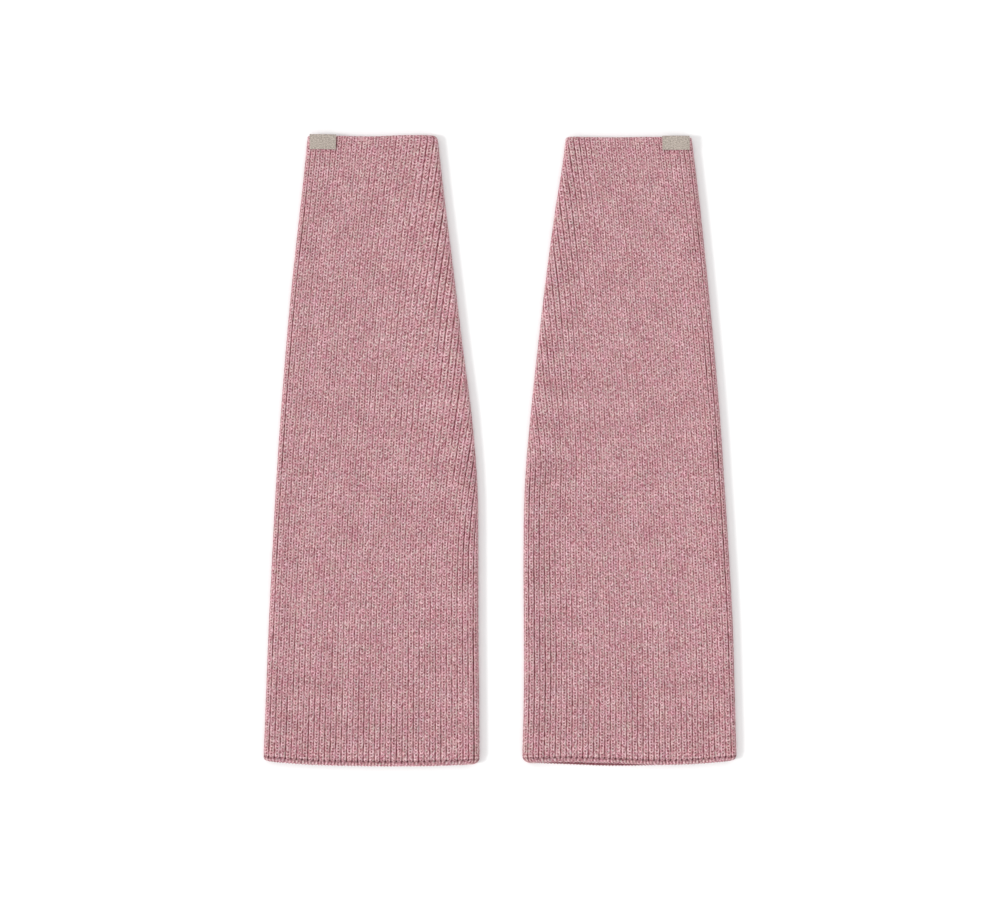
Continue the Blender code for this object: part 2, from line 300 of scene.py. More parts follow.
# Rows of one course: rise is the share of the way up it, valley how deep the yarns part there,
# and open how much of the rib's groove is left free by the yarn that crosses it
CourseRow = namedtuple("CourseRow", "rise valley open")
COURSE = (CourseRow(0.0, 1.0, 1.1), CourseRow(0.34, 0.0, 0.7), CourseRow(0.68, 0.1, 0.95))

# Rows of a roll round an end of the tube, in mm: drop lowers the cloth, rib is the share of the
# rib's groove, bead the share of the slanted stitches, and pit the share of the small holes over
# the grooves
RollRow = namedtuple("RollRow", "height drop rib bead pit")
HEM_OUTSIDE = (
    RollRow(4.2, 0.45, 1.0, 0.0, 0.9),
    RollRow(3.8, 0.95, 0.8, 0.0, 1.0),
    RollRow(3.4, 1.05, 0.4, 0.2, 0.9),
    RollRow(3.0, 0.55, 0.1, 0.7, 0.3),
    RollRow(2.2, 0.08, 0.0, 1.0, 0.0),
)
HEM_TURN = RollRow(0.0, 0.0, 0.0, 1.0, 0.0)
HEM_INSIDE = (
    RollRow(2.2, 0.0, 0.0, 0.8, 0.0),
    RollRow(3.2, -0.25, 0.0, 0.3, 0.5),
    RollRow(4.4, 0.0, 0.3, 0.0, 0.3),
    RollRow(8.0, 0.0, 0.3, 0.0, 0.0),
)
TOP_TURN = RollRow(453.0, 0.0, 0.4, 0.0, 0.0)
TOP_INSIDE = (RollRow(450.6, 0.0, 0.4, 0.0, 0.0), RollRow(449.2, 0.0, 0.2, 0.0, 0.0))

# The two rolls: the course where each begins, whether it goes up (1) or down (-1) the leg, its
# edge and radius, and its rows on the outer skin, round the turn and on the inner wall
Roll = namedtuple("Roll", "end course way edge radius outside turn inside")
HEM_ROLL = Roll("hem", 0, -1, 0.0, 1.5 * MM, HEM_OUTSIDE, HEM_TURN, HEM_INSIDE)
TOP_ROLL = Roll("top", COURSE_COUNT, 1, LENGTH, 1.4 * MM, (), TOP_TURN, TOP_INSIDE)
# Rows round the turn of a roll
TURN_STEPS = 9

# Label's section over the top edge: along is the share of its length down the front, and lift
# is above the front's crests in mm
LabelPoint = namedtuple("LabelPoint", "step along lift")
LABEL_SECTION = (
    LabelPoint(0, 1.0, 0.06),
    LabelPoint(1, 0.77, 0.0),
    LabelPoint(2, 0.54, 0.0),
    LabelPoint(3, 0.31, 0.0),
    LabelPoint(4, 0.09, -0.05),
    LabelPoint(5, 0.01, -0.5),
    LabelPoint(6, -0.01, -1.3),
    LabelPoint(7, -0.01, -2.4),
)
# How near the outer fold the label stays level, and how far below the edge it begins to turn
LABEL_LEVEL_FROM = 2.8 * MM
LABEL_BEND_FROM = 0.5 * MM
LABEL_COLUMNS = 36
LABEL_ROWS = 36

# Looks of a cloth: its roughness and sheen, and how strong and how deep its relief is
Cloth = namedtuple("Cloth", "roughness sheen sheen_tint relief relief_depth")
KNIT_CLOTH = Cloth(0.92, 0.25, (1.0, 0.86, 0.88, 1.0), 0.8, 0.35 * MM)
LABEL_CLOTH = Cloth(0.62, 0.1, (1.0, 1.0, 1.0, 1.0), 0.6, 0.12 * MM)
CLOTH_SPECULAR = 0.15
SHEEN_ROUGHNESS = 0.6

# Flecks: how fast their noise changes across and up, which layer of it they show, how fine it is
# and how strongly it works
Fleck = namedtuple("Fleck", "across up layer detail strength")

# Heather yarn, by legs across and courses up: runs along a course, patches, slanted clumps,
# single fibres and single stitches change its tone, and some of it is undyed
YARN_RUN = Fleck(0.22, 5.37, 0.0, 1.0, 0.12)
YARN_PATCH = Fleck(0.12, 0.13, 3.1, 2.0, 0.58)
YARN_CLUMP = Fleck(0.92, 0.92, 6.0, 2.0, 3.4)
YARN_FIBRE = Fleck(4.0, 9.0, 8.7, 2.0, 1.6)
STITCH_TONE = 0.25
UNDYED = Fleck(1.1, 1.4, 21.0, 2.0, 0.85)
UNDYED_FROM = 0.46
UNDYED_FULL = 0.7

# Slow drifts of the yarn's colour, and how much each one changes red, green and blue
REDDER = Fleck(0.24, 0.24, 33.0, 4.0, (0.18, -0.26, -0.08))
BLUER = Fleck(0.24, 0.24, 47.0, 4.0, (0.0, -0.13, 0.13))

# Knit by ribs across and courses up: its fuzz, the plies in the relief and their turns for each
# leg, and how many courses a stitch's legs rise
FUZZ = Fleck(14.0, 16.0, 0.0, 3.0, 0.45)
PLY_RELIEF = 0.16
PLY_TWIST = 2.6
LEGS_IN_RIB = 2.0
LEAN_IN_COURSES = 1.2

# Painted shade between the yarns, by how far a place lies from the middle of a stitch: where it
# begins and is full, how strong it is, and how much the open eye of a stitch adds
Shade = namedtuple("Shade", "start full strength eye")
GROOVE_SHADE = Shade(0.55, 1.0, 0.86, -0.4)
MIDDLE_SHADE = Shade(0.6, 0.0, 0.14, 0.78)
COURSE_SHADE = Shade(0.5, 1.0, 0.04, 0.0)
EYE = (0.2, 0.9)
# The same, as painted shade by the cavity attribute, in the grooves and in the tube
PAINTED_CAVITY_SHADES = (Shade(0.15, 1.1, 0.42, 0.0), Shade(1.0, 2.2, 0.5, 0.0))
# The least painted shade of a gap between two yarns, and the courses on the hem where the gaps end
LEAST_GAP = 0.5
HEM_GAPS = (-1.0, -0.3)

# Woven label by mm across and up: threads, slubs, light and dark tones, and its relief
WARP_PER_MM = 2.4
WEFT_PER_MM = 2.0
SLUB = Fleck(0.9, 1.6, 0.0, 2.0, 2.2)
THREAD = Fleck(5.0, 9.0, 0.0, 2.0, 1.8)
WEAVE_TONE = 0.35
THREAD_RELIEF = 0.4
LABEL_LIGHT = 1.35
LABEL_DARK = 0.62
LABEL_TONES = (0.1, 0.9)
LABEL_SMOOTH_ANGLE = math.radians(50.0)

# The floor lies just under the cloth
FLOOR_SIZE = 6.0
FLOOR_GAP = 0.05 * MM

# Camera: a long lens straight above the pair, framed as the photo is
FRAME_WIDTH = 716.5 * MM
AIM = (0.0, 0.3 * MM)
AIM_HEIGHT = 3.0 * MM
LENS = 100.0
SENSOR = 36.0
CLIP_START = 0.05


def length(name, description, default):
    return FloatProperty(name=name, description=description, default=default, unit="LENGTH")


def factor(name, description, default):
    return FloatProperty(name=name, description=description, default=default, subtype="FACTOR")


def angle(name, description, degrees):
    default = math.radians(degrees)
    return FloatProperty(name=name, description=description, default=default, subtype="ANGLE")


def colour(name, description, default):
    return FloatVectorProperty(
        name=name, description=description, default=default, subtype="COLOR", size=3
    )


class KnitSettings(PropertyGroup):
    """Sizes of the stitches."""

    lean: length("Leg rise", "How far the two legs of a stitch rise to the sides", 2.4 * MM)
    valley: length("Valley depth", "Depth between the legs of one course and the next", 0.34 * MM)
    dip: length("Middle depth", "Depth of the hollow between the legs of a stitch", 0.28 * MM)
    uneven: factor("Unevenness", "How much single stitches differ in how far they stand out", 0.35)
    loose: factor("Looseness", "How much the depth of a groove changes, also on its way up", 0.4)
    wander: length("Rib wander", "How far a rib strays to the side on its way up", 0.16 * MM)
    seed: IntProperty(name="Seed", description="Changes which stitches stand out", default=11)


class HemSettings(PropertyGroup):
    """Sizes of the rolled hem."""

    stitches_per_rib: FloatProperty(
        name="Stitches per rib",
        description="Slanted stitches along the roll for each rib above it",
        default=5.0 / 3.0,
    )
    slant: FloatProperty(
        name="Slant",
        description="How many stitches a slanted one passes on its way round the roll",
        default=1.1,
    )
    bead_depth: length("Bead depth", "Depth between two slanted stitches", 0.6 * MM)
    pit_depth: length("Pit depth", "Depth of the holes where a groove meets the roll", 1.15 * MM)


class LabelSettings(PropertyGroup):
    """Sizes of the woven label."""

    thickness: length("Thickness", "Thickness of the woven strip", 0.5 * MM)


class ColourSettings(PropertyGroup):
    """Colours of the yarns and the label, and of the painted shade between the yarns."""

    body: colour("Yarn", "Main colour of the heather yarn", (0.61, 0.315, 0.352))
    pale: colour("Pale fibres", "Colour of the palest fibres in the yarn", (0.87, 0.61, 0.64))
    deep: colour("Deep fibres", "Colour of the darkest fibres in the yarn", (0.37, 0.14, 0.168))
    grey: colour("Grey fibres", "Colour of the few undyed fibres in the yarn", (0.51, 0.42, 0.39))
    # Painted shade: the hollow colour darkens the yarn where shade falls between the yarns
    hollow: colour("Hollow shade", "What is left of a colour between the yarns", (0.28, 0.095, 0.12))
    label: colour("Label", "Colour of the woven label", (0.41, 0.355, 0.31))


class StageSettings(PropertyGroup):
    """The floor and the lights."""

    floor: colour("Floor", "Colour of the floor", (0.92, 0.92, 0.92))
    fill: FloatProperty(
        name="Fill light",
        description="Strength of the light from all round",
        default=0.95,
    )
    key: FloatProperty(
        name="Key light",
        description="Strength of the soft light from the left",
        default=1.5,
    )
    key_height: angle("Key height", "How high over the floor the key light stands", 37.0)
    key_turn: angle("Key turn", "How far from straight left the key light turns to the hems", 8.0)
    key_spread: angle("Key spread", "How wide the key light is, which softens its shadow", 14.0)


def ease(share):
    """Smooth step from 0 to 1."""
    share = np.clip(share, 0.0, 1.0)
    return share * share * (3.0 - 2.0 * share)


def bump(distance, width):
    """Soft hill of height 1 at distance 0."""
    return np.exp(-((distance / width) ** 2))


def read_table(table, column, at):
    """Smooth values of one column of a table whose first column is the place."""
    places = np.array([row[0] for row in table], float)
    values = np.array([getattr(row, column) for row in table], float)
    order = np.arange(len(places))
    after = np.minimum(order + 1, len(places) - 1)
    before = np.maximum(order - 1, 0)
    slopes = (values[after] - values[before]) / (places[after] - places[before])
    i = np.clip(np.searchsorted(places, at, side="right") - 1, 0, len(places) - 2)
    span = places[i + 1] - places[i]
    t = np.clip((at - places[i]) / span, 0.0, 1.0)
    start = (1.0 + 2.0 * t) * (1.0 - t) ** 2 * values[i] + t * (1.0 - t) ** 2 * span * slopes[i]
    end = t * t * (3.0 - 2.0 * t) * values[i + 1] - t * t * (1.0 - t) * span * slopes[i + 1]
    return start + end


class LegWarmer:
    """One tube's form. Heights and distances are arrays in metres."""

    def __init__(self, name):
        self.name = name
        self.side = -1.0 if name == "left" else 1.0
        self.corners = CORNERS[name]
        self.hang = HANGS[name]
        self.grooves = GROOVES[name]
        self.run_off = RUN_OFFS[name]

    def fold(self, side, height):
        """How far the outer or the inner fold lies from the middle of the pair."""
        return read_table(OUTLINE, f"{self.name}_{side}", height / MM) * MM

    def width(self, height):
        return self.fold("outer", height) - self.fold("inner", height)

    def pitch(self, height):
        """Distance from one groove to the next, before the spread."""
        start = self.run_off.height
        base = self.width(np.minimum(height, start)) / RIB_COUNT
        rise = np.maximum(height - start, 0.0) / (LENGTH - start)
        return base * (1.0 - (1.0 - self.run_off.top_share) * rise)

    def across(self, ribs, height):
        """How far from the outer fold a place lies that is this many ribs in."""
        plain = ribs * self.pitch(height)
        off = self.run_off
        rise = (height - off.spread_from) / (off.spread_to - off.spread_from)
        spread = np.maximum(off.spread * ease(rise), NEARLY_ZERO)
        start = self.width(height) - off.reach
        over = np.maximum(plain - start, 0.0)
        inside = np.maximum(1.0 - 2.0 * spread * over / off.reach, 0.0)
        return np.minimum(plain, start) + off.reach / spread * (1.0 - np.sqrt(inside))

    def seam(self, height):
        """How far along the cloth from the outer fold the seam under the inner fold lies."""
        spare = FOLD_SPARE * (FOLD_RADIUS_FRONT + FOLD_RADIUS_BACK)
        return self.width(height) + spare + SEAM_PAST_FOLD * self.pitch(height)

    def turned_in(self, reach, radius):
        """Distance across of a place this far along the cloth, which turns round the outer fold."""
        turn = np.clip(reach / radius + FOLD_SPARE, 0.0, np.pi / 2.0)
        return np.where(reach < radius, radius * (1.0 - np.cos(turn)), reach)

    def wrapped(self, reach, height):
        """The same round both folds, and which places lie underneath, past the inner fold."""
        width = self.width(height)
        turning = reach - width + FOLD_RADIUS_FRONT
        turn = np.clip(turning / FOLD_RADIUS_FRONT, 0.0, np.pi / 2.0)
        inner = width - FOLD_RADIUS_FRONT * (1.0 - np.sin(turn))
        beyond = reach - width - FOLD_SPARE * FOLD_RADIUS_FRONT
        under = width - self.turned_in(beyond - FOLD_SPARE * FOLD_RADIUS_BACK, FOLD_RADIUS_BACK)
        across = np.where(turning > 0.0, inner, self.turned_in(reach, FOLD_RADIUS_FRONT))
        return np.where(beyond > 0.0, under, across), beyond > 0.0

    def corner_inset(self, radii, height):
        """How far a rounded corner pulls its fold in at this height."""
        inset = np.zeros_like(height)
        for radius, from_end in zip((r * MM for r in radii), (height, LENGTH - height)):
            left = np.clip(radius - from_end, 0.0, radius)
            inset = inset + radius - np.sqrt(radius**2 - left**2)
        return inset

    def squeezed(self, across, height):
        """The distance across with both corners rounded."""
        c = self.corners
        outer = self.corner_inset((c.hem_outer, c.top_outer), height)
        inner = self.corner_inset((c.hem_inner, c.top_inner), height)
        from_inner = self.width(height) - across
        moved = outer * (1.0 - ease(across / CORNER_EASE))
        return across + moved - inner * (1.0 - ease(from_inner / CORNER_EASE))

    def crest_height(self, across, height):
        """Height of the rib crests over the floor, away from the folds."""
        from_inner = self.width(height) - across
        crest = THICKNESS
        for distance in (across, from_inner):
            crest = crest + PUFF_HEIGHT * bump(distance - PUFF_FROM_FOLD, PUFF_WIDTH)
        for trough in TROUGHS[self.name]:
            middle = (trough.low + trough.high) / 2.0 * MM
            reach = (trough.high - trough.low) / 2.0 * MM
            along = ease(TROUGH_FADE - TROUGH_FADE * abs(height - middle) / reach)
            off_line = from_inner - trough.from_inner * MM
            crest = crest - trough.depth * MM * along * bump(off_line, trough.half_width * MM)
        return crest

    def groove_depth(self, across, height):
        """How deep the groove between two ribs is."""
        far = {"outer": across, "inner": self.width(height) - across}
        near = [
            (self.grooves.hem, 1.0 - ease(height / HEM_REACH)),
            (self.grooves.top, 1.0 - ease((LENGTH - height) / TOP_REACH)),
        ]
        for part in RIBBING[self.name]:
            fading = (far[part.fold] / MM - part.full_to) / (part.gone_by - part.full_to)
            from_end = np.minimum(height - part.low * MM, part.high * MM - height)
            near.append((part.share, (1.0 - ease(fading)) * ease(from_end / RIBBING_FADE)))
        middle = self.grooves.middle
        shares = [middle + (full - middle) * close for full, close in near]
        return RIB_DEPTH * np.maximum.reduce(shares)

    def place(self, across, height, z, back):
        """Points in the pair's own frame, with the wavy hem and top edge."""
        share = across / self.width(height)
        ends = ENDS[self.name]
        hem_front, hem_back, top_drop = (read_table(ends, end, share) * MM for end in End._fields[1:])
        hem = np.where(back, hem_back, hem_front)
        top = LENGTH - top_drop
        y = hem + (top - hem) * height / LENGTH - MIDDLE
        x = self.side * (self.fold("outer", height) - self.squeezed(across, height))
        return np.stack((x, y, z), axis=-1)

    def outside(self, across, height, back, drop=0.0):
        """Points and normals of the outer skin at the level of the rib crests."""
        width = self.width(height)
        nearer = np.minimum(across, width - across)
        radius = np.where(back, FOLD_RADIUS_BACK, FOLD_RADIUS_FRONT)
        towards = np.where(across < width / 2.0, self.side, -self.side)
        half = (self.crest_height(across, height) - drop) / 2.0
        inside = np.clip(1.0 - nearer / radius, 0.0, 1.0)
        upright = np.sqrt(1.0 - inside * inside)
        up = np.where(back, -1.0, 1.0)
        points = self.place(across, height, half * (1.0 + up * upright), back)
        normals = np.stack(
            (towards * inside / radius, np.zeros_like(inside), up * upright / half), axis=-1
        )
        return points, normals / np.linalg.norm(normals, axis=-1, keepdims=True)

    def inside(self, across, height, back):
        """Points of the inner wall that lie under those of the outer skin."""
        width = self.width(height)
        inner = FOLD_WALL + across / width * (width - 2.0 * FOLD_WALL)
        nearer = np.minimum(inner, width - inner)
        ceiling = self.crest_height(inner, height) - WALL_FRONT
        middle = (ceiling + WALL_BACK) / 2.0
        opened = np.sin(np.clip((nearer - FOLD_WALL) / SLOT_ROUNDING, 0.0, 1.0) * np.pi / 2.0)
        z = middle + (np.where(back, WALL_BACK, ceiling) - middle) * opened
        return self.place(inner, height, z, back)


class ClothMesh:
    """Gathers the points and faces of one piece. A corner is a vertex with its UV."""

    def __init__(self, leg):
        self.flip = leg.side > 0.0
        self.points = np.zeros((0, 3))
        self.cavity = np.zeros(0)
        self.carved = np.zeros(0)
        self.vertex_of = np.zeros(0, int)
        self.uvs = np.zeros((0, 2))
        self.faces = {3: [], 4: []}

    def add(self, points, ribs, courses, cavity=0.0, carved=0.0):
        """Adds vertices, and returns the numbers of their corners in the same shape."""
        shape = points.shape[:-1]
        count = int(np.prod(shape))
        first = len(self.points)
        self.points = np.concatenate((self.points, points.reshape(-1, 3)))
        self.cavity = np.append(self.cavity, np.broadcast_to(cavity, shape))
        self.carved = np.append(self.carved, np.broadcast_to(carved, shape))
        return self.corners(np.arange(first, first + count).reshape(shape), ribs, courses)

    def corners(self, vertices, ribs, courses):
        """Adds corners at vertices that are already there."""
        shape = vertices.shape
        first = len(self.vertex_of)
        places = [np.broadcast_to(values, shape).ravel() for values in (ribs, courses)]
        self.vertex_of = np.append(self.vertex_of, vertices)
        self.uvs = np.concatenate((self.uvs, np.stack(places, axis=-1)))
        return np.arange(first, first + vertices.size).reshape(shape)

    def skin(self, *sides, under=False):
        """Adds a face for each place along arrays of corners."""
        if self.flip != under:
            sides = sides[::-1]
        face = np.stack([np.ravel(side) for side in sides], axis=-1)
        self.faces[len(sides)].append(face)

    def join_rows(self, low, high):
        """Faces between two closed rows of corners of the same length."""
        low, high = np.append(low, low[:1]), np.append(high, high[:1])
        self.skin(low[:-1], low[1:], high[1:], high[:-1])

    def zip_rows(self, low, low_keys, high, high_keys):
        """Faces between two closed rows of unlike lengths, by their keys."""
        i = j = 0
        while i < len(low) or j < len(high):
            key_low = low_keys[i + 1] if i + 1 < len(low) else math.inf
            key_high = high_keys[j + 1] if j + 1 < len(high) else math.inf
            a, b = low[i % len(low)], high[j % len(high)]
            if j >= len(high) or (i < len(low) and key_low <= key_high):
                self.skin(a, low[(i + 1) % len(low)], b)
                i += 1
            else:
                self.skin(a, high[(j + 1) % len(high)], b)
                j += 1

    def build(self, name, material):
        """The finished object, smooth all over."""
        faces = {size: np.concatenate(made) for size, made in self.faces.items() if made}
        loops = np.concatenate([face.ravel() for face in faces.values()])
        sizes = np.concatenate([np.full(len(face), size) for size, face in faces.items()])
        data = bpy.data.meshes.new(name)
        data.vertices.add(len(self.points))
        data.vertices.foreach_set("co", self.points.astype(np.float32).ravel())
        data.loops.add(len(loops))
        data.loops.foreach_set("vertex_index", self.vertex_of[loops].astype(np.int32))
        data.polygons.add(len(sizes))
        data.polygons.foreach_set("loop_start", (np.cumsum(sizes) - sizes).astype(np.int32))
        data.update(calc_edges=True)
        layer = data.uv_layers.new(name=UV_NAME)
        layer.uv.foreach_set("vector", self.uvs[loops].astype(np.float32).ravel())
        for attribute, values in ((CAVITY_NAME, self.cavity), (CARVED_NAME, self.carved)):
            stored = data.attributes.new(attribute, "FLOAT", "POINT")
            stored.data.foreach_set("value", values.astype(np.float32))
        if data.validate():
            raise RuntimeError(name + " has faces that aren't sound")
        data.shade_smooth()
        data.materials.append(material)
        piece = bpy.data.objects.new(name, data)
        bpy.context.scene.collection.objects.link(piece)
        return piece


# A whole row round the tube: its columns' points, kinds, ribs and shares of the groove
Ring = namedtuple("Ring", "points kind ribs groove")
OVER, AT_SEAM, UNDER = range(3)


class Knitting:
    """The stitches of one leg warmer: where each point of its fine grid lies."""

    def __init__(self, leg, settings, hem):
        self.leg = leg
        self.settings = settings
        self.hem = hem
        self.course_span = (LAST_COURSE - FIRST_COURSE) / COURSE_COUNT
        random = np.random.default_rng(settings.seed + (leg.side > 0.0))
        shape = (COURSE_COUNT + SPARE_COURSES, 2 * (RIB_COUNT + SPARE_RIBS))
        self.stand_out = 1.0 + settings.uneven * random.uniform(-1.0, 1.0, shape)
        self.phases = random.uniform(0.0, 2.0 * np.pi, (2, RIB_COUNT + SPARE_RIBS))

    def course_height(self, course):
        """Height up the leg of a course, and course_at is the way back."""
        return FIRST_COURSE + course * self.course_span

    def course_at(self, height):
        return (height - FIRST_COURSE) / self.course_span

    def row_height(self, rows):
        """Height of rows of stitches where their legs don't rise."""
        rise = np.array([COURSE[i].rise for i in rows % ROWS_IN_COURSE])
        return self.course_height(rows // ROWS_IN_COURSE + rise)

    def lean(self, height):
        """How far the legs rise to the sides, which fades out at both ends of the tube."""
        fade = LEAN_FADE * self.settings.lean
        low = ease((height - FIRST_COURSE) / fade)
        return self.settings.lean * low * ease((LAST_COURSE - height) / fade)

    def strayed(self, ribs, height):
        """Distance across of a place so many ribs in, with the ribs' small wander."""
        leg = self.leg
        across = leg.across(ribs, height)
        whole = np.floor(ribs).astype(int)
        part = ribs - whole
        waves = []
        for phase, wave in zip(self.phases, WANDER_LENGTHS):
            here = np.sin(height / wave + phase[whole])
            after = np.sin(height / wave + phase[whole + 1])
            waves.append(here * (1.0 - part) + after * part)
        nearer = np.minimum(across, np.abs(leg.width(height) - across))
        calm = ease(nearer / (CALM_RIBS * leg.pitch(height))) * ease((LENGTH - height) / HEM_REACH)
        return across + self.settings.wander * calm * ease(height / HEM_REACH) * sum(waves) / 2.0

    def closeness(self, ribs, height):
        """How much deeper or shallower a groove is than the others, which changes on its way up."""
        phases = self.phases[:, np.floor(ribs + 0.5).astype(int)]
        waves = sum(np.sin(height / wave + phase) for wave, phase in zip(LOOSE_LENGTHS, phases))
        return 1.0 + self.settings.loose * waves / 2.0

    def depth(self, across, height, wale, valley, opened, stand_out):
        """How far below the crests the yarn lies."""
        s = self.settings
        leg = self.leg
        nearer = np.minimum(across, leg.width(height) - across)
        rise = ease(nearer / (EDGE_RIBS * leg.pitch(height)))
        at_edge = EDGE_GROOVE + (1.0 - EDGE_GROOVE) * rise
        groove = wale["groove"] * leg.groove_depth(across, height) * at_edge * opened
        narrowed = (1.0 + VALLEY_NARROWING) * wale["bulge"] - VALLEY_NARROWING
        parted = s.valley * valley * np.maximum(narrowed, 0.0)
        hollow = s.dip * wale["dip"] * (DIP_ALWAYS + DIP_IN_VALLEY * valley)
        flat = STAND_OUT * (1.0 - stand_out) * wale["bulge"]
        left = EDGE_STITCH + (1.0 - EDGE_STITCH) * at_edge
        return np.maximum(groove + (parted + hollow + flat) * left, 0.0)

    def grid(self, rows, columns, straight):
        """Ribs, heights and courses of the columns in some rows, with their shares of a wale."""
        nominal = self.row_height(rows)[:, None]
        wale = dict(zip(Wale._fields, np.array([WALE[i % len(WALE)] for i in columns]).T))
        ribs = columns // len(WALE) + wale["across"]
        lean = self.lean(nominal)
        height = nominal + lean * (1.0 if straight else wale["lift"]) + 0.0 * ribs
        return ribs, height, self.course_at(height - lean * wale["lift"]), wale

    def count_valid(self, reach, limit):
        """How many columns of each row come before the limit."""
        valid = reach < limit
        return np.where(valid.all(axis=1), valid.shape[1], np.argmin(valid, axis=1))

    def front_rows(self, rows):
        """The front and both folds: points, columns in each row, ribs, courses and depths."""
        leg = self.leg
        columns = np.arange(FIRST_COLUMN, (RIB_COUNT + SPARE_RIBS - 1) * len(WALE))
        ribs, height, courses, wale = self.grid(rows, columns, False)
        reach = self.strayed(ribs + 0.0 * height, height)
        seam = leg.seam(height)
        counts = self.count_valid(reach, seam - LAST_COLUMN_ROOM)
        across, back = leg.wrapped(reach, height)
        course, step = rows // ROWS_IN_COURSE, rows % ROWS_IN_COURSE
        valley, opened = np.array([(COURSE[i].valley, COURSE[i].open) for i in step]).T[..., None]
        stand_out = self.stand_out[course][:, (2.0 * ribs).astype(int)]
        opened = opened * stand_out * self.closeness(ribs, height)
        depth = self.depth(across, height, wale, valley, opened, stand_out)
        depth = depth * ease((seam - reach) / SEAM_EASE)
        points, normals = leg.outside(across, height, back)
        return points - normals * depth[..., None], counts, ribs, courses, depth

    def seam_points(self, rows):
        """Points where the two edges of the panel meet, just under the inner fold."""
        leg = self.leg
        nominal = self.row_height(rows)
        height = nominal + self.lean(nominal)
        across = leg.width(height) - SEAM_PAST_FOLD * leg.pitch(height)
        return leg.outside(across, height, np.full(height.shape, True))[0]

    def back_rows(self, rows):
        """The underside in straight rows: points, columns, ribs, courses and depths."""
        leg = self.leg
        columns = np.arange(FIRST_UNDER_COLUMN, RIB_COUNT * len(WALE))
        ribs, height, courses, wale = self.grid(rows, columns, True)
        seam = leg.width(height) - SEAM_PAST_FOLD * leg.pitch(height)
        across = leg.turned_in(leg.across(ribs + 0.0 * height, height), FOLD_RADIUS_BACK)
        counts = self.count_valid(across, seam - LAST_COLUMN_ROOM)
        across = np.minimum(across, seam)
        opened = self.closeness(ribs, height)
        depth = self.depth(across, height, dict(wale, bulge=0.0), 0.0, opened, 1.0)
        depth = depth * ease((seam - across) / SEAM_EASE)
        points, normals = leg.outside(across, height, np.full(height.shape, True))
        return points - normals * depth[..., None], counts, ribs, courses, depth

    def ring(self, row):
        """One whole row: over the front, past the seam and back along the underside."""
        rows = np.array([row])
        front, counts, ribs, _, _ = self.front_rows(rows)
        back, back_counts, back_ribs, _, _ = self.back_rows(rows)
        n, m = counts[0], back_counts[0]
        seam_rib = ribs[n - 1] + 1.0 / len(WALE)
        points = np.concatenate((front[0, :n], self.seam_points(rows), back[0, :m][::-1]))
        kinds = np.repeat((OVER, AT_SEAM, UNDER), (n, 1, m))
        over = np.arange(FIRST_COLUMN, FIRST_COLUMN + n) % len(WALE)
        under = np.arange(FIRST_UNDER_COLUMN, FIRST_UNDER_COLUMN + m)[::-1] % len(WALE)
        grooves = np.array([wale.groove for wale in WALE])
        groove = np.concatenate((grooves[over], [0.0], grooves[under]))
        ribs = np.concatenate((ribs[:n], [seam_rib], back_ribs[:m][::-1]))
        return Ring(points, kinds, ribs, groove)


def ring_across(leg, ring, height):
    """Distances across of a ring's columns at a height, and which of them lie underneath."""
    height = np.full(ring.ribs.shape, height)
    reach = np.where(ring.kind == AT_SEAM, leg.seam(height), leg.across(ring.ribs, height))
    over, past = leg.wrapped(reach, height)
    across = np.where(ring.kind == UNDER, leg.turned_in(reach, FOLD_RADIUS_BACK), over)
    return across, height, past | (ring.kind == UNDER)


def signed_ribs(ring):
    """A ring's ribs, which are negative on the underside."""
    return np.where(ring.kind == UNDER, -ring.ribs, ring.ribs)


def rolled_row(knitting, ring, way, height, turn, row):
    """Points of a ring on its way round the end of the cloth wall, and their depths.

    turn goes from 0 on the outer skin to half a turn on the inner wall.
    """
    leg, hem = knitting.leg, knitting.hem
    across, height, back = ring_across(leg, ring, height)
    level = (1.0 - math.cos(turn)) / 2.0
    outer, normals = leg.outside(across, height, back, row.drop * MM * (1.0 - level))
    inner = leg.inside(across, height, back)
    phase = signed_ribs(ring) * hem.stitches_per_rib - way * hem.slant * turn / math.pi
    bead = hem.bead_depth * (0.5 - 0.5 * np.cos(2.0 * np.pi * phase)) * row.bead
    groove = ring.groove * row.rib * leg.groove_depth(across, height)
    pit = hem.pit_depth * row.pit * ring.groove**2
    depth = bead + groove + pit
    out = normals * math.cos(turn) + np.array((0.0, way, 0.0)) * math.sin(turn)
    points = outer * (1.0 - level) + inner * level - out * depth[:, None]
    # The second value is the cavity for painted shade: the depth, with more for the slanted stitches,
    # the drop and the tube's inside
    in_tube = IN_TUBE * RIB_DEPTH * ease((level - DARK_FROM) / (1.0 - DARK_FROM))
    return points, depth + BEAD_SHADE * bead + max(row.drop, 0.0) * MM + in_tube


def rolled_rows(knitting, ring, roll):
    """A ring's rows round an end of the tube, from the outer skin to the inner wall."""
    path = [(row.height * MM, 0.0, row) for row in roll.outside]
    for step in range(TURN_STEPS):
        turn = math.pi * step / (TURN_STEPS - 1)
        path.append((roll.edge - roll.way * roll.radius * (1.0 - math.sin(turn)), turn, roll.turn))
    path += [(row.height * MM, math.pi, row) for row in roll.inside]
    return [rolled_row(knitting, ring, roll.way, *place) for place in path]


def roll_end(knitting, roll, mesh):
    """Rolls the cloth round an end into the tube, and returns its ring and its last row."""
    ring = knitting.ring(roll.course * ROWS_IN_COURSE)
    groove = ring.groove * RIB_DEPTH * getattr(knitting.leg.grooves, roll.end)
    made = [(ring.points, groove)] + rolled_rows(knitting, ring, roll)
    corners = []
    for i, (points, depth) in enumerate(made):
        course = roll.course + roll.way * i / ROWS_IN_COURSE
        corners.append(mesh.add(points, signed_ribs(ring), course, depth / RIB_DEPTH, CARVED))
    for rows in zip(corners, corners[1:]):
        mesh.join_rows(*rows[:: roll.way])
    return ring, made[-1]


